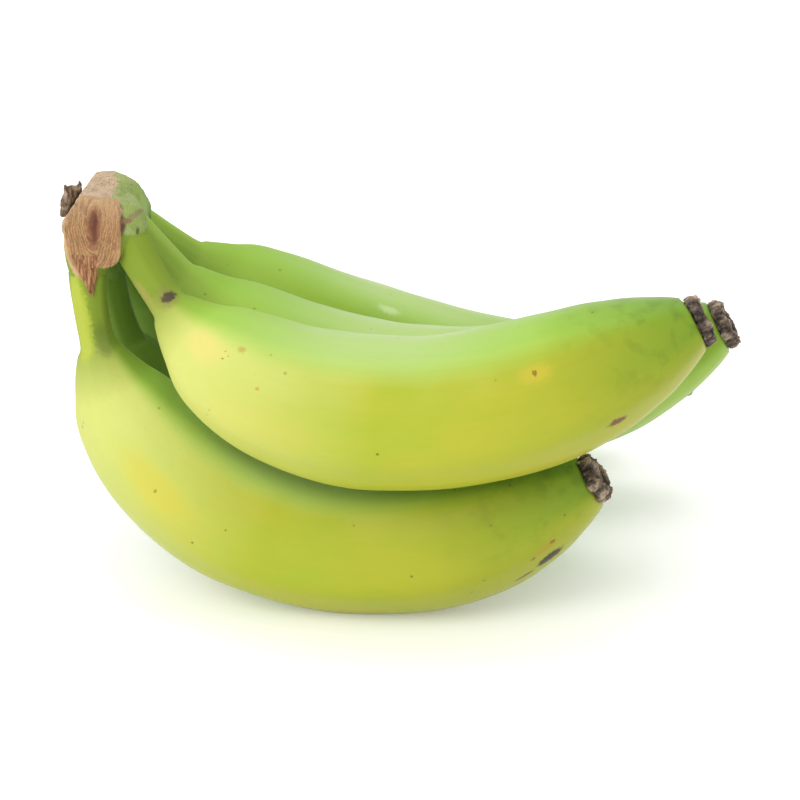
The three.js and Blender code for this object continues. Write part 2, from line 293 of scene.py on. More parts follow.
inner_side = put(nodes, "ShaderNodeMapRange", {0: inward, 1: 0.6, 2: 0.95}, interpolation_type="SMOOTHSTEP")
colour = put(nodes, "ShaderNodeMix", {0: inner_side, 6: colour, 7: shade("#8fb53e")}, data_type="RGBA")
in_shade = put(nodes, "ShaderNodeAttribute", attribute_name="sunless").outputs["Fac"]
colour = put(nodes, "ShaderNodeMix", {0: in_shade, 6: colour, 7: shade("#84ad38")}, data_type="RGBA")
# Painted sheen: the inner side is paled along the middle of the body for the soft reflection off its wax bloom.
sheen_start = put(nodes, "ShaderNodeMapRange", {0: body_share, 1: 0.02, 2: 0.35})
sheen_end = put(nodes, "ShaderNodeMapRange", {0: body_share, 1: 0.78, 2: 0.48})
bloom = put(nodes, "ShaderNodeMath", {0: sheen_start, 1: sheen_end}, operation="MULTIPLY")
sheen_side = put(nodes, "ShaderNodeMapRange", {0: inward, 1: 0.62, 2: 0.95, 4: 0.55})
bloom = put(nodes, "ShaderNodeMath", {0: bloom, 1: sheen_side}, operation="MULTIPLY")
colour = put(nodes, "ShaderNodeMix", {0: bloom, 6: colour, 7: shade("#b5c888")}, data_type="RGBA")
to_neck = put(nodes, "ShaderNodeMapRange", {0: body_share, 1: 0.06, 2: -0.05})
neck = put(nodes, "ShaderNodeMix", {0: in_shade, 6: shade("#768a2c"), 7: shade("#93b14b")}, data_type="RGBA")
colour = put(nodes, "ShaderNodeMix", {0: to_neck, 6: colour, 7: neck.outputs[2]}, data_type="RGBA")
to_tip = put(nodes, "ShaderNodeMapRange", {0: body_share, 1: 0.72, 2: 0.97, 4: 0.8})
not_belly = put(nodes, "ShaderNodeMapRange", {0: inward, 1: -0.75, 2: 0.1})
to_tip = put(nodes, "ShaderNodeMath", {0: to_tip, 1: not_belly}, operation="MULTIPLY")
colour = put(nodes, "ShaderNodeMix", {0: to_tip, 6: colour, 7: shade("#678a26")}, data_type="RGBA")
mottle = put(nodes, "ShaderNodeTexNoise", {"Vector": in_mm, "W": finger, "Scale": 1 / 4.5, "Detail": 4.0},
             noise_dimensions="4D")
mottled = put(nodes, "ShaderNodeMapRange", {0: mottle.outputs[0], 1: 0.5, 2: 0.68, 4: 0.45})
mottled = put(nodes, "ShaderNodeMath", {0: mottled, 1: to_tip}, operation="MULTIPLY")
colour = put(nodes, "ShaderNodeMix", {0: mottled, 6: colour, 7: shade("#42651c")}, data_type="RGBA")

# Painted shade: the necks of the two bananas at the back of the lower row, under all the others, are painted a deep
# dark green for the shade that falls there.
under = put(nodes, "ShaderNodeMath", {0: finger, 1: 3.5}, operation="GREATER_THAN")
near_neck = put(nodes, "ShaderNodeMapRange", {0: body_share, 1: 0.42, 2: 0.15})
painted_gap_shade = put(nodes, "ShaderNodeMath", {0: under, 1: near_neck}, operation="MULTIPLY")
colour = put(nodes, "ShaderNodeMix", {0: painted_gap_shade, 6: colour, 7: shade("#547022")}, data_type="RGBA")

# Fibres under the skin show as faint streaks along it.
streak_width, streak_length = 0.9, 22  # mm
drawn_out = put(nodes, "ShaderNodeVectorMath",
                {0: in_mm, 1: (1 / streak_width, 1 / streak_length, 1 / streak_width)}, operation="MULTIPLY")
streaks = put(nodes, "ShaderNodeTexNoise", {"Vector": drawn_out, "Scale": 1.0, "Detail": 3.0})
streaked = put(nodes, "ShaderNodeMapRange", {0: streaks.outputs[0], 1: 0.3, 2: 0.7, 3: 0.988, 4: 1.012})
colour = put(nodes, "ShaderNodeVectorMath", {0: colour.outputs[2], "Scale": streaked}, operation="SCALE")

# Freckles: small rubbed spots, each in its own cell, with most cells left clean.
freckles = ((6.5, 0.085, 0.4, "#6f6a2c", 0.6), (2.1, 0.12, 0.3, "#868a36", 0.3), (8.2, 0.055, 0.5, "#574a1e", 0.85))
for cell, dot, kept_cells, tone, strength in freckles:
    cells = put(nodes, "ShaderNodeTexVoronoi", {"Vector": in_mm, "Scale": 1 / cell, "Randomness": 1.0})
    dots = put(nodes, "ShaderNodeMapRange", {0: cells.outputs["Distance"], 1: dot, 2: 0.3 * dot})
    chance = put(nodes, "ShaderNodeSeparateColor", {0: cells.outputs["Color"]})
    chosen = put(nodes, "ShaderNodeMath", {0: chance.outputs[0], 1: kept_cells}, operation="LESS_THAN")
    depth = put(nodes, "ShaderNodeMath", {0: dots, 1: chosen}, operation="MULTIPLY")
    depth = put(nodes, "ShaderNodeMath", {0: depth, 1: strength}, operation="MULTIPLY")
    colour = put(nodes, "ShaderNodeMix", {0: depth, 6: colour, 7: shade(tone)}, data_type="RGBA")

# Bruises and scars, and one painted highlight: which banana, how far along it (mm), the angle round it from the inner
# side (degrees), half
# its size round and along (mm), its colour and how strong it is.
marks = (
    ("upper_front", 23, 40, 3.4, 3.6, "#7d7440", 0.6),
    ("upper_front", 23, 34, 2.6, 1.5, "#3f3230", 0.85),
    ("upper_front", 19, 100, 1.6, 5, "#a08e52", 0.5),
    ("upper_front", 138, 121, 1.5, 2.8, "#6e4a22", 1),
    ("upper_front", 124, 56, 2.6, 5, "#bca838", 0.6),
    ("upper_front", 124, 56, 1, 0.7, "#84641c", 0.9),
    ("upper_front", 49, 46, 1.1, 1.3, "#a5853c", 0.6),
    # Painted highlight: a broad pale warm patch on the upper front banana's shoulder, for the key light's soft
    # highlight.
    ("upper_front", 40, 60, 4.5, 8, "#d8bd72", 0.4),
    ("lower_front", 23, 56, 2.6, 6, "#50602c", 0.5),
    ("lower_front", 18, 128, 2.2, 3.6, "#7f7f4c", 0.6),
    ("lower_front", 160, 144, 2.4, 4.6, "#3a2c1e", 1),
    ("lower_front", 152, 147, 0.8, 5.5, "#4d3b20", 0.9),
    ("lower_front", 161, 121, 1.4, 6, "#a8862a", 0.6),
    ("lower_front", 163, 118, 0.8, 0.9, "#7a5a1a", 0.8),
    ("lower_front", 157, 124, 0.7, 0.9, "#8a5f1c", 0.8),
    ("lower_front", 61, 94, 0.55, 0.6, "#4e4418", 0.9),
    ("lower_front", 60, 92, 5, 14, "#c9b83a", 0.45),
    ("lower_front", 40, 138, 0.5, 0.8, "#574a20", 0.9),
    ("lower_front", 17, 128, 3.6, 15, "#a9b343", 0.85),
    ("upper_front", 57, 70, 0.5, 0.5, "#b08a3c", 0.8),
    ("upper_front", 47, 56, 0.35, 0.35, "#9a6a2c", 0.9),
    ("upper_front", 46, 60, 0.3, 0.4, "#9a6a2c", 0.9),
    ("upper_front", 48.5, 59, 0.3, 0.3, "#9a6a2c", 0.8),
    ("upper_front", 45.5, 53, 0.35, 0.3, "#a3752f", 0.8),
    ("upper_front", 47.5, 52, 0.3, 0.3, "#9a6a2c", 0.8),
    ("upper_back", 79, 36, 1.4, 4, "#c6d9a8", 0.5),
)


def girth_at(banana, way):
    """The banana's radius (mm) at a distance from its root (mm), read straight from its bends."""
    pedicel, body, radius = banana[4:]
    place = pedicel_share * min(way / pedicel, 1) + (1 - pedicel_share) * max(way - pedicel, 0) / body
    return radius * float(np.interp(place, *zip(*girth)))


finger_apart = 1000  # mm, so that a mark on one banana never reaches another
ragged = put(nodes, "ShaderNodeTexNoise", {"Vector": in_mm, "Scale": 1.1, "Detail": 4.0})
shaken = put(nodes, "ShaderNodeVectorMath", {0: ragged.outputs["Color"], 1: (0.5, 0.5, 0.5)}, operation="SUBTRACT")
offset = put(nodes, "ShaderNodeCombineXYZ", {"X": finger})
offset = put(nodes, "ShaderNodeVectorMath", {0: offset, "Scale": finger_apart}, operation="SCALE")
spread = put(nodes, "ShaderNodeVectorMath", {0: in_mm, 1: offset})
for name, way, angle, wide, long, tone, strength in marks:
    out = girth_at(bananas[name], way)
    turned = math.radians(angle)
    middle = (out * math.sin(turned) + finger_apart * order.index(name), way, out * math.cos(turned))
    away = put(nodes, "ShaderNodeVectorMath", {0: spread, 1: middle}, operation="SUBTRACT")
    swing_by = [2.1 * min(size, 1.0) for size in (wide, long, wide)]
    shaken_more = put(nodes, "ShaderNodeVectorMath", {0: shaken, 1: swing_by, 2: away}, operation="MULTIPLY_ADD")
    sized = put(nodes, "ShaderNodeVectorMath", {0: shaken_more, 1: (wide, long, wide)}, operation="DIVIDE")
    far = put(nodes, "ShaderNodeVectorMath", {0: sized}, operation="LENGTH").outputs["Value"]
    rim, core = (1.1, 0.6) if strength > 0.75 else (1.25, 0.35)
    mask = put(nodes, "ShaderNodeMapRange", {0: far, 1: rim, 2: core, 4: strength}, interpolation_type="SMOOTHSTEP")
    colour = put(nodes, "ShaderNodeMix", {0: mask, 6: colour, 7: shade(tone)}, data_type="RGBA")

nodes.links.new(colour.outputs[2], surface.inputs["Base Color"])
worn = put(nodes, "ShaderNodeMapRange", {0: patches.outputs[0], 1: 0.3, 2: 0.7, 3: 0.3, 4: 0.4})
dull_neck = put(nodes, "ShaderNodeMapRange", {0: body_share, 1: 0.26, 2: 0.02, 4: 0.4})
worn = put(nodes, "ShaderNodeMath", {0: worn, 1: dull_neck}, operation="ADD")
nodes.links.new(worn.outputs[0], surface.inputs["Roughness"])
surface.inputs["IOR"].default_value = 1.5
surface.inputs["Specular IOR Level"].default_value = 0.16
pore_size = 0.8  # mm
pores = put(nodes, "ShaderNodeTexNoise", {"Vector": in_mm, "Scale": 1 / pore_size, "Detail": 2.0})
relief = put(nodes, "ShaderNodeMath", {0: streaks.outputs[0], 1: pores.outputs[0]}, operation="ADD")
bump = put(nodes, "ShaderNodeBump", {"Height": relief, "Strength": 0.08, "Distance": 0.1 * MM})
nodes.links.new(bump.outputs[0], surface.inputs["Normal"])

for number, (name, banana) in enumerate(bananas.items()):
    root, dips, swings, ease, pedicel, body, radius = banana
    fruit = grow("fruit_" + name, tree, {
        "Root": [MM * c for c in root], "Dip at root": math.radians(dips[0]),
        "Dip at neck": math.radians(dips[1]), "Dip at tip": math.radians(dips[2]),
        "Swing at root": math.radians(swings[0]), "Swing at tip": math.radians(swings[1]), "Ease": ease,
        "Pedicel": pedicel * MM, "Body": body * MM, "Radius": radius * MM, "Rows": rows, "Sides": sides,
        "Finger": number, "Sunless": sunless[name], "Skin": peel,
    })
    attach(fruit, "root")
    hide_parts("banana_" + name)


# ------------------------------------------------------------------------------------------------------------
# The blossom ends: what is left of each flower, a dead corky plug about as wide as the end of its banana. It has
# dried, cracked and curled, with a hollow where the style broke off.

tree, given, result = open_tree("blossom_end", {
    "End": "Vector", "Turn": "Vector", "Reach": "Float", "Length": "Float", "Seed": "Float", "Skin": "Material",
})
line = put(tree, "GeometryNodeCurvePrimitiveLine")
spine = put(tree, "GeometryNodeResampleCurve", {"Curve": line, "Count": 90})
along = put(tree, "GeometryNodeSplineParameter")
spine_kept = put(tree, "GeometryNodeCaptureAttribute", domain="POINT")
spine_kept.capture_items.new("FLOAT", "Along")
tree.links.new(spine.outputs[0], spine_kept.inputs["Geometry"])
tree.links.new(along.outputs["Factor"], spine_kept.inputs["Along"])
ring = put(tree, "GeometryNodeCurvePrimitiveCircle", {"Resolution": 110, "Radius": 1.0})
ring_place = put(tree, "GeometryNodeInputPosition")
ring_kept = put(tree, "GeometryNodeCaptureAttribute", domain="POINT")
ring_kept.capture_items.new("VECTOR", "Spoke")
tree.links.new(ring.outputs[0], ring_kept.inputs["Geometry"])
tree.links.new(ring_place.outputs[0], ring_kept.inputs["Spoke"])
tube = put(tree, "GeometryNodeCurveToMesh", {"Curve": spine_kept, "Profile Curve": ring_kept})
# The plug's outline, from its foot inside the banana, over the rim, down into the hollow: how wide, how far out.
width_curve = put(tree, "ShaderNodeFloatCurve", {"Value": spine_kept.outputs["Along"]})
draw_curve(width_curve, [(0, 0), (0.07, 0.88), (0.16, 1.02), (0.34, 1.03), (0.5, 0.97), (0.62, 0.84), (0.72, 0.62),
                         (0.84, 0.38), (1, 0)], headroom)
out_curve = put(tree, "ShaderNodeFloatCurve", {"Value": spine_kept.outputs["Along"]})
draw_curve(out_curve, [(0, 0), (0.08, 0.02), (0.2, 0.14), (0.36, 0.45), (0.5, 0.78), (0.62, 0.97), (0.72, 0.95),
                       (0.84, 0.78), (1, 0.72)], headroom)
wide = put(tree, "ShaderNodeMath", {0: given["Reach"], 1: headroom}, operation="MULTIPLY")
wide = put(tree, "ShaderNodeMath", {0: width_curve, 1: wide}, operation="MULTIPLY")
far_out = put(tree, "ShaderNodeMath", {0: given["Length"], 1: headroom}, operation="MULTIPLY")
far_out = put(tree, "ShaderNodeMath", {0: out_curve, 1: far_out}, operation="MULTIPLY")
spoke = put(tree, "ShaderNodeVectorMath", {0: ring_kept.outputs["Spoke"], "Scale": wide}, operation="SCALE")
spoke = put(tree, "ShaderNodeSeparateXYZ", {0: spoke})
local = put(tree, "ShaderNodeCombineXYZ", {"X": far_out, "Y": spoke.outputs["X"], "Z": spoke.outputs["Y"]})
plug = put(tree, "GeometryNodeSetPosition", {"Geometry": tube, "Position": local})
plug = put(tree, "GeometryNodeMergeByDistance", {"Geometry": plug, "Distance": 1e-6})
# Lumps, then wrinkles, then cracks, each pushed in or out along the skin and drawn out along the plug.
drawn = put(tree, "ShaderNodeVectorMath", {0: local, 1: (0.4, 1, 1)}, operation="MULTIPLY")
raised = None
for size, depth in ((2.6, 0.5), (1.0, 0.45), (0.5, 0.25)):
    lumps = put(tree, "ShaderNodeTexNoise", {"Vector": drawn, "W": given["Seed"], "Scale": 1 / (size * MM), "Detail": 1.0},
                noise_dimensions="4D")
    high = put(tree, "ShaderNodeMapRange", {0: lumps.outputs[0], 1: 0.3, 2: 0.7, 3: -depth / 2 * MM,
                                            4: depth / 2 * MM}, clamp=False)
    raised = put(tree, "ShaderNodeMath", {0: raised, 1: high}) if raised else high
cracks = put(tree, "ShaderNodeTexVoronoi", {"Vector": drawn, "W": given["Seed"], "Scale": 1 / (2.1 * MM)},
             voronoi_dimensions="4D", feature="F1")
crack = put(tree, "ShaderNodeMapRange", {0: cracks.outputs["Distance"], 1: 0.2, 2: 0.75, 3: 0.2 * MM, 4: -0.42 * MM})
raised = put(tree, "ShaderNodeMath", {0: raised, 1: crack})
normal = put(tree, "GeometryNodeInputNormal")
pushed = put(tree, "ShaderNodeVectorMath", {0: normal, "Scale": raised}, operation="SCALE")
kept_height = put(tree, "GeometryNodeStoreNamedAttribute", {"Geometry": plug, "Name": "raised", "Value": raised},
                  data_type="FLOAT", domain="POINT")
rough = put(tree, "GeometryNodeSetPosition", {"Geometry": kept_height, "Offset": pushed})
here = put(tree, "GeometryNodeInputPosition")
rotation = put(tree, "FunctionNodeEulerToRotation", {0: given["Turn"]})
turned = put(tree, "FunctionNodeRotateVector", {"Vector": here, "Rotation": rotation})
moved = put(tree, "ShaderNodeVectorMath", {0: turned, 1: given["End"]})
placed = put(tree, "GeometryNodeSetPosition", {"Geometry": rough, "Position": moved})
smooth = put(tree, "GeometryNodeSetShadeSmooth", {"Geometry": placed})
real = put(tree, "GeometryNodeRealizeInstances", {"Geometry": smooth})
put_on = put(tree, "GeometryNodeSetMaterial", {"Geometry": real, "Material": given["Skin"]})
tree.links.new(put_on.outputs[0], result.inputs[0])

# Dead flower tissue, dried to a dull cork with grit of its own: painted shade makes it near black in the cracks, and a
# painted highlight makes it grey-tan on the raised lumps.
cork, nodes, surface = open_material("dried_corky_flower_tissue")
raised = put(nodes, "ShaderNodeAttribute", attribute_name="raised").outputs["Fac"]
spot = put(nodes, "ShaderNodeTexCoord").outputs["Object"]
grit = put(nodes, "ShaderNodeTexNoise", {"Vector": spot, "Scale": 1 / (0.9 * MM), "Detail": 5.0, "Roughness": 0.65})
high = put(nodes, "ShaderNodeMapRange", {0: raised, 1: -0.62 * MM, 2: 0.5 * MM})
grit_and_painted_relief_light = put(nodes, "ShaderNodeMath", {0: grit.outputs[0], 1: 0.9, 2: high}, operation="MULTIPLY_ADD")
colour = put(nodes, "ShaderNodeMapRange", {0: grit_and_painted_relief_light, 1: 0.55, 2: 1.3})
ramp = put(nodes, "ShaderNodeValToRGB", {0: colour})
ramp.color_ramp.elements[0].color = shade("#261d18")
ramp.color_ramp.elements[1].color = shade("#a8947c")
ramp.color_ramp.elements.new(0.45).color = shade("#5f5144")
nodes.links.new(ramp.outputs[0], surface.inputs["Base Color"])
surface.inputs["Roughness"].default_value = 0.88
bump = put(nodes, "ShaderNodeBump", {"Height": grit.outputs[0], "Strength": 0.6, "Distance": 0.25 * MM})
nodes.links.new(bump.outputs[0], surface.inputs["Normal"])


def turn_at(banana, way):
    """How the banana's path is turned at a distance (mm) from its root."""
    root, dips, swings, ease, pedicel, body, radius = banana
    if way < pedicel:
        dip = dips[0] + (dips[1] - dips[0]) * way / pedicel
    else:
        dip = dips[1] + (dips[2] - dips[1]) * (1 - (1 - (way - pedicel) / body) ** ease)
    swing = swings[1] + (swings[0] - swings[1]) * (1 - way / (pedicel + body)) ** 2
    return Euler((0, math.radians(dip), math.radians(swing)))


def walk(banana, way):
    """The middle of the banana (mm) at a distance from its root (mm), in steps of about half a millimetre."""
    steps = max(1, round(abs(way) * 2))
    stride = way / steps
    point = Vector(banana[0])
    for i in range(steps):
        point += Vector((stride, 0, 0)) @ turn_at(banana, (i + 0.5) * stride).to_matrix().transposed()
    return point


for number, (name, banana) in enumerate(bananas.items()):
    end = banana[4] + banana[5]
    sunk = 0.7  # mm, the plug's foot in the banana
    plug = grow("cork_" + name, tree, {
        "End": MM * walk(banana, end - sunk), "Turn": Vector(turn_at(banana, end)),
        "Reach": 0.335 * banana[6] * MM, "Length": 3.5 * MM, "Seed": 3.7 * number, "Skin": cork,
    })
    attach(plug, "root")
    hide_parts("blossom_end_" + name)


# ------------------------------------------------------------------------------------------------------------
# The crown: the pad of stalk that all six pedicels grow out of, cut off the stem with a knife. The cut faces have
# dried tan and brown with the stalk's fibres in rings, a strip of its skin is torn down in front, and the rest of
# its skin is still green.

# Solids, as centre and size (mm), and knife cuts, as a point on each cut and the way that it faces.
pad = ((-75, -1, 97.5), (25, 78, 26))
pad_cuts = (((-66, -22, 105), (0.2, -0.3, 0.93)), ((-65.6, -20, 102), (1, 0.05, 0.1)))
stub = ((-75.8, -16, 98.6), (15.2, 66, 17.4))
top_cut = ((-77, -26, 107.1), (0, -0.057, 1))
right_cut = ((-70.4, -15, 107.7), (0.35, -0.04, 0.93))
back_slope = ((-70.4, -15, 107.7), (0.6, 0.45, 1))
front_cut = ((-78, -38.5, 99), (-0.25, -1, 0.1))
left_cut = ((-83.4, -38, 97), (-1, -0.1, 0.12))
left_bevel = ((-78.5, -26, 107), (-0.82, 0.06, 0.57))
front_bevel = ((-76, -38.2, 101.8), (-0.2, -0.75, 0.66))
cuts = (top_cut, front_bevel, ((-77, -13, 107.8), (-0.05, 0.4, 1)), back_slope, right_cut,
        front_cut, left_cut, left_bevel, ((-76, 24, 97), (-0.1, 1, 0.2)))


def beyond(points, cut):
    """How far beyond a cut's plane each point is (mm), and the plane's unit normal."""
    normal = np.array(Vector(cut[1]).normalized())
    return (points - np.array(cut[0])) @ normal, normal


def trim(points, planes):
    """Presses every point that is beyond a plane back onto it, in rounds, as one plane can undo another."""
    for cut in planes * 12:
        out, normal = beyond(points, cut)
        points = points - np.maximum(out, 0)[:, None] * normal
    return points


def lump(cutting, centre, size, planes, fullness=2):
    """Adds an ellipsoid, fuller at its corners than a plain one if asked, and trimmed by the planes."""
    ball = bmesh.ops.create_icosphere(cutting, subdivisions=6, radius=0.5)["verts"]
    spots = np.array([vert.co for vert in ball])
    spots *= 0.5 / (np.abs(spots) ** fullness).sum(axis=1, keepdims=True) ** (1 / fullness)
    spots = spots * size + centre
    for vert, spot in zip(ball, trim(spots, planes)):
        vert.co = spot


def loft(building, rings):
    """Adds a closed tube through rings of points, each end closed by a fan."""
    rows_of_verts = [[building.verts.new(point) for point in ring] for ring in rings]
    for near, far in zip(rows_of_verts, rows_of_verts[1:]):
        for i in range(len(near)):
            j = (i + 1) % len(near)
            building.faces.new((near[i], near[j], far[j], far[i]))
    building.faces.new(rows_of_verts[0][::-1])
    building.faces.new(rows_of_verts[-1])


crown_build = bmesh.new()
lump(crown_build, *pad, pad_cuts + cuts)
lump(crown_build, *stub, cuts, 4)

# A swollen collar round each pedicel, that thins away to nothing a little way down it.
collar = [(-7, 4.2), (-5, 5.6), (-1, 6.2), (3, 5.5), (6, 4.7), (8, 4.25), (10, 3.7)]
for banana in bananas.values():
    tubes = []
    for way, radius in collar:
        frame_here = turn_at(banana, max(way, 0)).to_matrix()
        middle = walk(banana, way)
        ring = [middle + frame_here @ Vector((0, radius * math.cos(a), radius * math.sin(a)))
                for a in np.linspace(0, 2 * math.pi, 40, endpoint=False)]
        tubes.append(trim(np.array(ring), cuts))
    loft(crown_build, tubes)

# The torn strip of skin: its outline as height (mm) and the left and right edges at that height.
torn = [(93.6, -81.2, -74.4), (92.2, -80.6, -74.7), (90, -79.9, -74.9), (88, -79.0, -75.0), (86, -78.1, -75.5),
        (84.5, -77.6, -75.8), (82.2, -76.6, -76.1)]
strip_depth = 1.1
lower = bananas["lower_front"]
strips = []
for height, left, right in torn:
    across_it = np.linspace(left, right, 16)
    at_height = [walk(lower, way) for way in np.arange(0, 16, 0.5)]
    middle = min(at_height, key=lambda point: abs(point.z - height))
    thick = girth_at(lower, 5) + 0.35
    bulge = np.sqrt(np.maximum(thick ** 2 - (across_it - middle.x) ** 2, 2))
    skin_y = middle.y - bulge
    front = [(x, y - 0.45 - 0.25 * noise.noise(Vector((x, 7, height)) * 0.6), height)
             for x, y in zip(across_it, skin_y)]
    back_face = [(x, y + strip_depth, height) for x, y in zip(across_it[::-1], skin_y[::-1])]
    strips.append(front + back_face)
loft(crown_build, strips)
bmesh.ops.recalc_face_normals(crown_build, faces=crown_build.faces)
bmesh.ops.scale(crown_build, vec=(MM, MM, MM), verts=crown_build.verts)
solid = bpy.data.meshes.new("crown_solids")
crown_build.to_mesh(solid)
crown_build.free()

# All of it is made one skin, with the hollows between the parts filled a little.
voxel = 0.36 * MM
mould = bpy.data.objects.new("crown_solids", solid)
bpy.context.scene.collection.objects.link(mould)
one_skin = mould.modifiers.new("one skin", "REMESH")
one_skin.mode = "VOXEL"
one_skin.voxel_size = voxel
one_skin.adaptivity = 0
bpy.context.view_layer.update()
crown_mesh = bpy.data.meshes.new_from_object(mould.evaluated_get(bpy.context.evaluated_depsgraph_get()))
bpy.data.objects.remove(mould)
crown_mesh.name = "stalk_crown"

# A crumb of the moulding can come away at a sharp corner, so only what joins the crown's highest point is kept.
whole = bmesh.new()
whole.from_mesh(crown_mesh)
reached = {max(whole.verts, key=lambda vert: vert.co.z)}
edge_of_it = list(reached)
while edge_of_it:
    for edge in edge_of_it.pop().link_edges:
        for vert in edge.verts:
            if vert not in reached:
                reached.add(vert)
                edge_of_it.append(vert)
bmesh.ops.delete(whole, geom=[vert for vert in whole.verts if vert not in reached], context="VERTS")
whole.to_mesh(crown_mesh)
whole.free()


def spots_of(mesh):
    """A mesh's points in mm."""
    flat_list = np.empty(3 * len(mesh.vertices))
    mesh.vertices.foreach_get("co", flat_list)
    return flat_list.reshape(-1, 3) / MM


spots = spots_of(crown_mesh)
edges = np.empty(2 * len(crown_mesh.edges), dtype=int)
crown_mesh.edges.foreach_get("vertices", edges)
starts, ends = edges.reshape(-1, 2).T
count = len(spots)
neighbours = np.bincount(starts, minlength=count) + np.bincount(ends, minlength=count)
nearest_cut = np.min([np.abs(beyond(spots, cut)[0]) for cut in cuts + pad_cuts[:1]], axis=0)
softness = np.clip((nearest_cut - 0.5) / 2.5, 0.12, 1)[:, None]
for _ in range(26):
    total = np.zeros_like(spots)
    for axis in range(3):
        total[:, axis] = (np.bincount(starts, weights=spots[ends, axis], minlength=count)
                          + np.bincount(ends, weights=spots[starts, axis], minlength=count))
    spots += 0.6 * softness * (total / neighbours[:, None] - spots)


def rough_at(points, size, seed):
    """Smooth noise at each point, about -1 to 1, with lumps of the given size (mm)."""
    return np.array([noise.noise(Vector(point) / size + Vector((seed, 0, 0))) for point in points])


# Relief: the fibres' rings stand proud on the front cut, and the other cuts are pitted and scuffed.
crown_mesh.vertices.foreach_set("co", (spots * MM).ravel())
crown_mesh.update()
normals = np.empty(3 * count)
crown_mesh.vertices.foreach_get("normal", normals)
normals = normals.reshape(-1, 3)
ring_middle = np.array((-75.6, -38.9, 102))
ring_stretch = 2.6  # the rings are this much taller than wide
ring_step = 1.25  # mm
wander = rough_at(spots, 3.5, 1)
from_middle = np.hypot(spots[:, 0] - ring_middle[0], (spots[:, 2] - ring_middle[2]) / ring_stretch)
rings = np.cos(2 * math.pi * (from_middle + 0.45 * wander) / ring_step)
from_front = np.minimum(np.abs(beyond(spots, front_cut)[0]), np.abs(beyond(spots, front_bevel)[0]))
on_front = np.clip(1 - from_front / 0.8, 0, 1)
on_cut = np.clip(1.3 - nearest_cut / 0.6, 0, 1)
fine = rough_at(spots, 0.9, 4)
coarse = rough_at(spots, 2.6, 9)
lift = on_front * (0.13 * rings + 0.16 * wander) + on_cut * (0.14 * fine + 0.22 * coarse)
lift += (1 - on_cut) * 0.04 * coarse
in_strip = np.zeros(count)
heights = [row[0] for row in torn][::-1]
left_edge = np.interp(spots[:, 2], heights, [row[1] for row in torn][::-1])
right_edge = np.interp(spots[:, 2], heights, [row[2] for row in torn][::-1])
inside = np.minimum(spots[:, 0] - left_edge, right_edge - spots[:, 0])
low_front = (spots[:, 1] < -36.2) & (spots[:, 2] < 93.5) & (spots[:, 2] > 82)
in_strip[low_front] = np.clip(inside[low_front] / 0.5 + 0.6, 0, 1)
lift += in_strip * 0.2 * rough_at(spots * (1, 1, 0.15), 0.8, 2)
spots += lift[:, None] * normals
crown_mesh.vertices.foreach_set("co", (spots * MM).ravel())
crown_mesh.attributes.new("torn", "FLOAT", "POINT").data.foreach_set("value", in_strip)
crown_mesh.attributes.new("lift", "FLOAT", "POINT").data.foreach_set("value", lift)
crown_mesh.shade_smooth()
crown_mesh.update()
crown = bpy.data.objects.new("stalk_crown", crown_mesh)
bpy.context.scene.collection.objects.link(crown)

# Cut stalk and its skin. Where the knife went the tissue has dried into pale fibres in rings, red-brown in the
# middle and purple-brown at the rim; elsewhere it is the same waxy green skin as the pedicels.
crown_skin, nodes, surface = open_material("cut_and_dried_banana_stalk")
spot = put(nodes, "ShaderNodeTexCoord").outputs["Object"]
spot = put(nodes, "ShaderNodeVectorMath", {0: spot, "Scale": 1 / MM}, operation="SCALE")
cell_cluster, fibre_end, fibre_wave, fibre_gap = 2.2, 0.5, 3.0, 0.62  # mm
grain = put(nodes, "ShaderNodeTexNoise", {"Vector": spot, "Scale": 1 / cell_cluster, "Detail": 6.0,
                                          "Roughness": 0.62}).outputs[0]
fine_grain = put(nodes, "ShaderNodeTexNoise", {"Vector": spot, "Scale": 1 / fibre_end, "Detail": 4.0}).outputs[0]
ragged_edge = put(nodes, "ShaderNodeMath", {0: grain, 1: 0.5}, operation="SUBTRACT")
torn_mask = put(nodes, "ShaderNodeAttribute", attribute_name="torn").outputs["Fac"]
height_mask = put(nodes, "ShaderNodeAttribute", attribute_name="lift").outputs["Fac"]


def cut_face(cut, depth, ragged_by=2.0):
    """1 on the face that a cut left, and 0 a little way below it, with a ragged edge."""
    normal = Vector(cut[1]).normalized()
    out = put(nodes, "ShaderNodeVectorMath", {0: spot, 1: normal}, operation="DOT_PRODUCT").outputs["Value"]
    out = put(nodes, "ShaderNodeMath", {0: ragged_edge, 1: ragged_by, 2: out}, operation="MULTIPLY_ADD")
    level = normal.dot(Vector(cut[0]))
    return put(nodes, "ShaderNodeMapRange", {0: out, 1: level - depth, 2: level - depth + 0.25})


def stain(middle, half_sizes, inner=0.75, outer=1.1):
    """1 inside an ellipsoid (mm) and 0 outside, with a ragged edge."""
    away = put(nodes, "ShaderNodeVectorMath", {0: spot, 1: middle}, operation="SUBTRACT")
    sized = put(nodes, "ShaderNodeVectorMath", {0: away, 1: half_sizes}, operation="DIVIDE")
    far = put(nodes, "ShaderNodeVectorMath", {0: sized}, operation="LENGTH").outputs["Value"]
    far = put(nodes, "ShaderNodeMath", {0: ragged_edge, 1: 0.9, 2: far}, operation="MULTIPLY_ADD")
    return put(nodes, "ShaderNodeMapRange", {0: far, 1: outer, 2: inner})
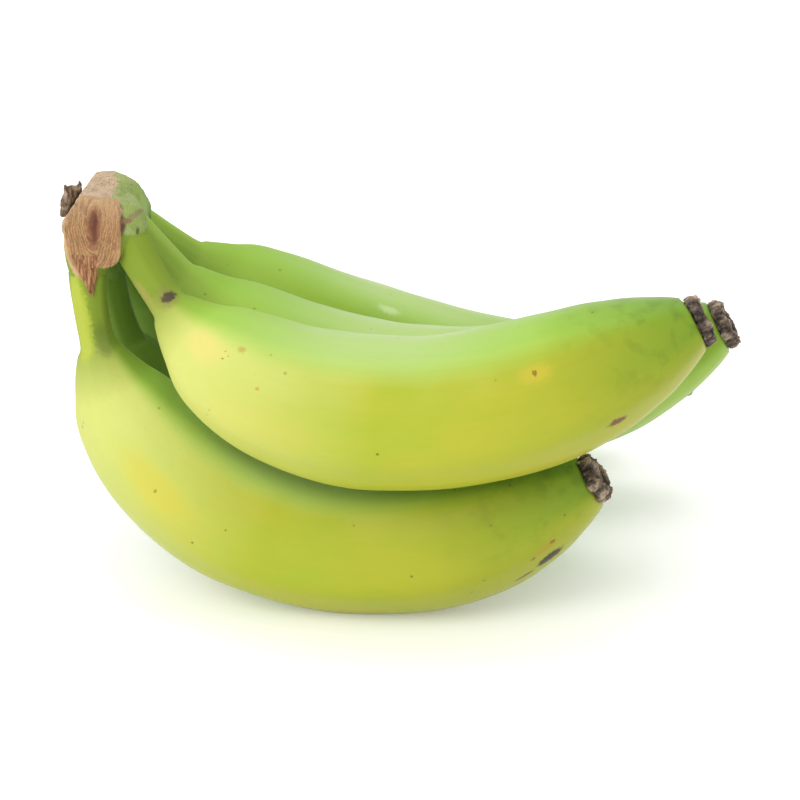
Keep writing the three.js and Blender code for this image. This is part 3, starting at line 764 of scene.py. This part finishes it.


# Green skin like the pedicels', painted dark as shade where they crowd together, with pale scuffs on the older cuts.
places = put(nodes, "ShaderNodeSeparateXYZ", {0: spot})
inner_row = put(nodes, "ShaderNodeMapRange", {0: places.outputs["Y"], 1: -24, 2: -17})
colour = put(nodes, "ShaderNodeMix", {0: inner_row, 6: shade("#768a2c"), 7: shade("#89a540")}, data_type="RGBA")
scuffs = put(nodes, "ShaderNodeMapRange", {0: grain, 1: 0.52, 2: 0.66, 4: 0.6})
scuffed = put(nodes, "ShaderNodeMix", {0: scuffs, 6: shade("#84964e"), 7: shade("#9aa66c")}, data_type="RGBA")
waxy_slope = cut_face(right_cut, 0.6, 1.0)
scratches = put(nodes, "ShaderNodeMapRange", {0: fine_grain, 1: 0.58, 2: 0.7, 4: 0.4})
scratches = put(nodes, "ShaderNodeMath", {0: scratches, 1: waxy_slope}, operation="MULTIPLY")
layers = [
    # Painted shade: dark green on the crown where the back pedicels crowd together, matching the painted shade on
    # their necks.
    (stain((-74, 5, 82), (22, 26, 12), 0.8, 1.2), shade("#547022")),
    (cut_face(pad_cuts[0], 1.3, 1.6), scuffed),
    (cut_face(back_slope, 1.3, 1.0), scuffed),
    (waxy_slope, shade("#8d9a5c")),
    (scratches, shade("#a9b286")),
]

# The curled brown edge of skin along the right of the front cut, and the scar that runs on from it.
for middle, half_sizes, tone in (
        ((-69.8, -37, 104), (1.7, 3, 2.6), "#75604a"), ((-68.9, -38.2, 101), (1.3, 3, 2.6), "#6a4c42"),
        ((-67.5, -37.2, 101.9), (1.6, 3, 0.7), "#7f6748"), ((-65.9, -36, 102.8), (1.5, 3, 0.6), "#857a54"),
        ((-64.8, -34, 103.3), (1.2, 3, 0.6), "#857a54"), ((-64.9, -36.3, 99.2), (0.45, 3, 0.8), "#5b5a30"),
        ((-70.5, -40, 93), (2.0, 3, 2), "#6a5434")):
    layers.append((stain(middle, half_sizes), shade(tone)))

# Dried faces: the top tan and speckled, the left and the bevel browner, the front ringed.
tan = put(nodes, "ShaderNodeMix", {0: grain, 6: shade("#8f7354"), 7: shade("#d3bd9f")}, data_type="RGBA")
speckle = put(nodes, "ShaderNodeMapRange", {0: fine_grain, 1: 0.55, 2: 0.68})
tan = put(nodes, "ShaderNodeMix", {0: speckle, 6: tan.outputs[2], 7: shade("#7a5638")}, data_type="RGBA")
brown = put(nodes, "ShaderNodeMix", {0: grain, 6: shade("#6b4a33"), 7: shade("#b08d66")}, data_type="RGBA")
not_right = put(nodes, "ShaderNodeMath", {0: 1.0, 1: waxy_slope}, operation="SUBTRACT")
on_top = put(nodes, "ShaderNodeMath", {0: cut_face(top_cut, 0.6), 1: not_right}, operation="MULTIPLY")
layers += [(cut_face(left_cut, 0.8), brown), (on_top, tan), (cut_face(left_bevel, 0.6), tan)]

# Rings on the front: fibres round a long middle, each line a little wavy.
from_ring = put(nodes, "ShaderNodeVectorMath", {0: spot, 1: tuple(ring_middle)}, operation="SUBTRACT")
squashed = put(nodes, "ShaderNodeVectorMath", {0: from_ring, 1: (1, 0, 1 / ring_stretch)}, operation="MULTIPLY")
ring_far = put(nodes, "ShaderNodeVectorMath", {0: squashed}, operation="LENGTH").outputs["Value"]
wavy = put(nodes, "ShaderNodeTexNoise", {"Vector": spot, "Scale": 1 / fibre_wave, "Detail": 3.0}).outputs[0]
ring_at = put(nodes, "ShaderNodeMath", {0: wavy, 1: 2.2, 2: ring_far}, operation="MULTIPLY_ADD")
ring_turn = put(nodes, "ShaderNodeMath", {0: ring_at, 1: 2 * math.pi / fibre_gap}, operation="MULTIPLY")
ring_line = put(nodes, "ShaderNodeMath", {0: ring_turn}, operation="SINE")
ring_line = put(nodes, "ShaderNodeMath", {0: fine_grain, 1: 5.0, 2: ring_line}, operation="MULTIPLY_ADD")
ring_line = put(nodes, "ShaderNodeMath", {0: grain, 1: 3.5, 2: ring_line}, operation="MULTIPLY_ADD")
fibre = put(nodes, "ShaderNodeMapRange", {0: ring_line, 1: 2.6, 2: 6.0})
face = put(nodes, "ShaderNodeMix", {0: fibre, 6: shade("#835c3d"), 7: shade("#ad895c")}, data_type="RGBA")
face_layers = (
    (put(nodes, "ShaderNodeMapRange", {0: grain, 1: 0.5, 2: 0.7, 4: 0.5}), "#6b4832"),
    (put(nodes, "ShaderNodeMapRange", {0: places.outputs["Z"], 1: 101, 2: 106.5, 4: 0.55}), "#b89a74"),
    (stain((-75.4, -38.9, 101.2), (1.7, 4, 5.4), 0.55, 1.35), "#794a33"),
    (stain((-75.2, -38.9, 100.8), (0.8, 4, 4.2), 0.4, 1.3), "#5c3322"),
    (put(nodes, "ShaderNodeMapRange", {0: ring_at, 1: 7.5, 2: 8.5, 4: 0.7}), "#c9a678"),
)
for mask, tone in face_layers:
    face = put(nodes, "ShaderNodeMix", {0: mask, 6: face.outputs[2], 7: shade(tone)}, data_type="RGBA")
on_face = put(nodes, "ShaderNodeMath", {0: cut_face(front_cut, 1.5), 1: cut_face(front_bevel, 1.0)},
              operation="MAXIMUM")
layers.append((on_face, face))

# The torn strip's strands run down it. The low spots of the relief are painted darker, as painted shade.
drawn_down = put(nodes, "ShaderNodeVectorMath", {0: spot, 1: (2.6, 2.6, 0.25)}, operation="MULTIPLY")
strands = put(nodes, "ShaderNodeTexNoise", {"Vector": drawn_down, "Scale": 1.0, "Detail": 3.0}).outputs[0]
strand_mask = put(nodes, "ShaderNodeMapRange", {0: strands, 1: 0.4, 2: 0.65})
strip = put(nodes, "ShaderNodeMix", {0: strand_mask, 6: shade("#72482f"), 7: shade("#b08258")}, data_type="RGBA")
painted_hollow_shade = put(nodes, "ShaderNodeMapRange", {0: height_mask, 1: 0.0, 2: -0.35, 4: 0.55})
layers += [(torn_mask, strip), (painted_hollow_shade, shade("#3d2a1c"))]
for mask, tone in layers:
    tone = tone.outputs[2] if isinstance(tone, bpy.types.Node) else tone
    colour = put(nodes, "ShaderNodeMix", {0: mask, 6: colour.outputs[2], 7: tone}, data_type="RGBA")
nodes.links.new(colour.outputs[2], surface.inputs["Base Color"])
surface.inputs["Roughness"].default_value = 0.72
surface.inputs["Specular IOR Level"].default_value = 0.3
relief = put(nodes, "ShaderNodeMath", {0: ring_line, 1: 0.25, 2: fine_grain}, operation="MULTIPLY_ADD")
bump = put(nodes, "ShaderNodeBump", {"Height": relief, "Strength": 0.5, "Distance": 0.18 * MM})
nodes.links.new(bump.outputs[0], surface.inputs["Normal"])
crown_mesh.materials.append(crown_skin)
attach(crown, "root")
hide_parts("crown")


# ------------------------------------------------------------------------------------------------------------
# The bract: a scrap of the leaf that once covered the flowers. It died, dried and curled up like a scroll, and
# still stands by its foot on the left of the crown.

flake_height, flake_thick = 8.6, 0.6  # mm
foot = np.array((-84.2, -24.5, 99.4))
lean = np.array((0.3, 0.12, 0.94))
flake_rows, flake_columns = 70, 90
grid = []
for i in range(flake_rows):
    up = i / (flake_rows - 1)
    for j in range(flake_columns):
        side = 2 * j / (flake_columns - 1) - 1
        top = 1 - 0.1 * noise.noise(Vector((2.1 * side, 0, 5))) - 0.25 * max(-side, 0) ** 2
        curl = (1.9 + 0.5 * up) * side
        width = 0.75 + 1.5 * up ** 0.7 - 0.35 * up ** 3
        crumple = Vector((1.4 * side, 3.2 * up, 2))
        out = width * (1 + 0.32 * noise.noise(crumple) + 0.14 * noise.noise(3.1 * crumple))
        spot_here = foot + lean * flake_height * up * top
        spot_here = spot_here + np.array((out * math.sin(curl), -out * math.cos(curl) + 0.5, 0))
        spot_here = spot_here + np.array((0.9 * noise.noise(Vector((0, 2.5 * up, 8))), 0, 0.15 * noise.noise(2 * crumple)))
        grid.append(spot_here)
sheet_points = np.array(grid).reshape(flake_rows, flake_columns, 3)
along_up = np.gradient(sheet_points, axis=0)
along_side = np.gradient(sheet_points, axis=1)
facing = np.cross(along_side, along_up)
facing /= np.linalg.norm(facing, axis=2)[:, :, None]
thin = flake_thick * (0.6 + 0.4 * np.sin(np.linspace(0.3, math.pi - 0.3, flake_columns)))[None, :, None]
outer = sheet_points + 0.5 * thin * facing
inner = sheet_points - 0.5 * thin * facing
flake_build = bmesh.new()
around = []
for i in range(flake_rows):
    ring = [flake_build.verts.new(MM * point) for point in np.vstack((outer[i], inner[i][::-1]))]
    around.append(ring)
for near, far in zip(around, around[1:]):
    for i in range(len(near)):
        j = (i + 1) % len(near)
        flake_build.faces.new((near[i], near[j], far[j], far[i]))
for ring in (around[0], around[-1]):
    for j in range(flake_columns - 1):
        flake_build.faces.new((ring[j], ring[j + 1], ring[-2 - j], ring[-1 - j]))
bmesh.ops.recalc_face_normals(flake_build, faces=flake_build.faces)
flake_mesh = bpy.data.meshes.new("leaf_scrap")
flake_build.to_mesh(flake_mesh)
flake_build.free()
flake_mesh.shade_smooth()
flake = bpy.data.objects.new("leaf_scrap", flake_mesh)
bpy.context.scene.collection.objects.link(flake)

# Dead leaf, dark brown and veined lengthwise, with a paler papery bloom where the outer skin has lifted.
dead_leaf, nodes, surface = open_material("dry_curled_bract")
spot = put(nodes, "ShaderNodeTexCoord").outputs["Object"]
spot = put(nodes, "ShaderNodeVectorMath", {0: spot, "Scale": 1 / MM}, operation="SCALE")
veined = put(nodes, "ShaderNodeVectorMath", {0: spot, 1: (2.4, 2.4, 0.35)}, operation="MULTIPLY")
veins = put(nodes, "ShaderNodeTexNoise", {"Vector": veined, "Scale": 1.0, "Detail": 4.0}).outputs[0]
bloom = put(nodes, "ShaderNodeTexNoise", {"Vector": spot, "Scale": 1 / 2.5, "Detail": 4.0}).outputs[0]
vein_mask = put(nodes, "ShaderNodeMapRange", {0: veins, 1: 0.4, 2: 0.65})
colour = put(nodes, "ShaderNodeMix", {0: vein_mask, 6: shade("#3a2a1e"), 7: shade("#7b6248")}, data_type="RGBA")
bloom_mask = put(nodes, "ShaderNodeMapRange", {0: bloom, 1: 0.52, 2: 0.66, 4: 0.8})
colour = put(nodes, "ShaderNodeMix", {0: bloom_mask, 6: colour.outputs[2], 7: shade("#a5927a")}, data_type="RGBA")
nodes.links.new(colour.outputs[2], surface.inputs["Base Color"])
surface.inputs["Roughness"].default_value = 0.85
bump = put(nodes, "ShaderNodeBump", {"Height": veins, "Strength": 0.5, "Distance": 0.2 * MM})
nodes.links.new(bump.outputs[0], surface.inputs["Normal"])
flake_mesh.materials.append(dead_leaf)
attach(flake, "root")
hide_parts("bract_scrap")


# ------------------------------------------------------------------------------------------------------------
# The studio: a seamless pale floor, white light from all round as under a big diffuser, and one soft key light
# from the front left. The camera stands back with a long lens.
sheet = bpy.data.meshes.new("floor")
reach = 6.0
sheet.from_pydata([(-reach, -reach, 0), (reach, -reach, 0), (reach, reach, 0), (-reach, reach, 0)], [], [(0, 1, 2, 3)])
floor = bpy.data.objects.new("floor", sheet)
bpy.context.scene.collection.objects.link(floor)
paper, nodes, surface = open_material("matt_white_backdrop_paper")
surface.inputs["Base Color"].default_value = shade("#f6f6f6")
surface.inputs["Roughness"].default_value = 0.9
surface.inputs["Emission Color"].default_value = (1, 1, 1, 1)
surface.inputs["Emission Strength"].default_value = 0.19
floor.data.materials.append(paper)

world = bpy.data.worlds.new("studio")
bpy.context.scene.world = world
world.use_nodes = True
world.node_tree.nodes["Background"].inputs["Color"].default_value = (1, 1, 1, 1)
world.node_tree.nodes["Background"].inputs["Strength"].default_value = 0.95

aim = Vector((-0.0007, -0.01136, 0.0459))


def soft_light(name, direction, distance, size, power):
    lamp = bpy.data.lights.new(name, "AREA")
    lamp.size = size
    lamp.energy = power
    holder = bpy.data.objects.new(name, lamp)
    holder.location = aim + Vector(direction).normalized() * distance
    holder.rotation_euler = (aim - holder.location).to_track_quat("-Z", "Y").to_euler()
    bpy.context.scene.collection.objects.link(holder)


soft_light("key", (-0.55, -0.75, 0.62), 1.6, 0.9, 11.5)
soft_light("top", (-0.05, 0.1, 1), 1.2, 0.8, 3.2)

camera_data = bpy.data.cameras.new("camera")
camera_data.sensor_width = 36
camera_data.lens = 124.65
camera_data.clip_start = 0.05
camera = bpy.data.objects.new("camera", camera_data)
tilt = math.radians(20)
camera.location = aim + 0.72 * Vector((0, -math.cos(tilt), math.sin(tilt)))
camera.rotation_euler = (aim - camera.location).to_track_quat("-Z", "Y").to_euler()
bpy.context.scene.collection.objects.link(camera)
bpy.context.scene.camera = camera
bpy.context.scene.view_settings.view_transform = "Standard"
